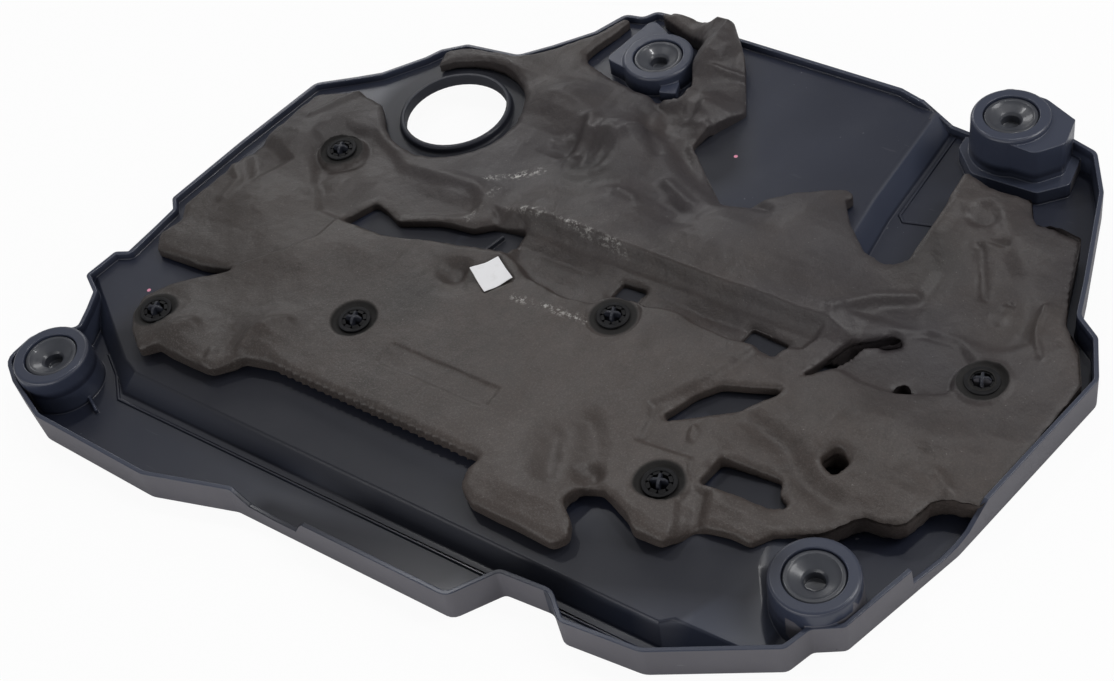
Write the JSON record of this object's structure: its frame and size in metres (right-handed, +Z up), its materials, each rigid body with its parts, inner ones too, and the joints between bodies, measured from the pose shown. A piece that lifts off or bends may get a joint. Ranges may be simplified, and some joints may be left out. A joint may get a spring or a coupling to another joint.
{
  "type": "engine cover",
  "caption": "Moulded plastic engine cover with an oil filler opening, rubber ball sockets in its bosses and a sculpted acoustic foam pad inside.",
  "frame": {"origin": "centre of the bounding box, on the surface that the cover lies on with its show face down", "axes": "+X along the front edge and the longest side, +Y towards the back edge, +Z up out of the cover's inner side"},
  "size_m": [0.5314, 0.4277, 0.0442],
  "materials": {
    "shell_plastic": "bluish black moulded plastic with a satin sheen",
    "acoustic_foam": "brownish grey moulded foam with a matt skin",
    "socket_rubber": "dark grey rubber with a soft sheen",
    "washer_plastic": "black plastic",
    "label_paper": "blank white paper"
  },
  "bodies": {
    "root": {"shell": "shell_plastic", "foam_pad": "acoustic_foam", "grommet_left": "socket_rubber", "grommet_back": "socket_rubber", "grommet_right": "socket_rubber", "grommet_front": "socket_rubber", "washer_left": "washer_plastic", "washer_back": "washer_plastic", "washer_inner": "washer_plastic", "washer_middle": "washer_plastic", "washer_front": "washer_plastic", "washer_right": "washer_plastic", "label": "label_paper"}
  },
  "joints": []
}
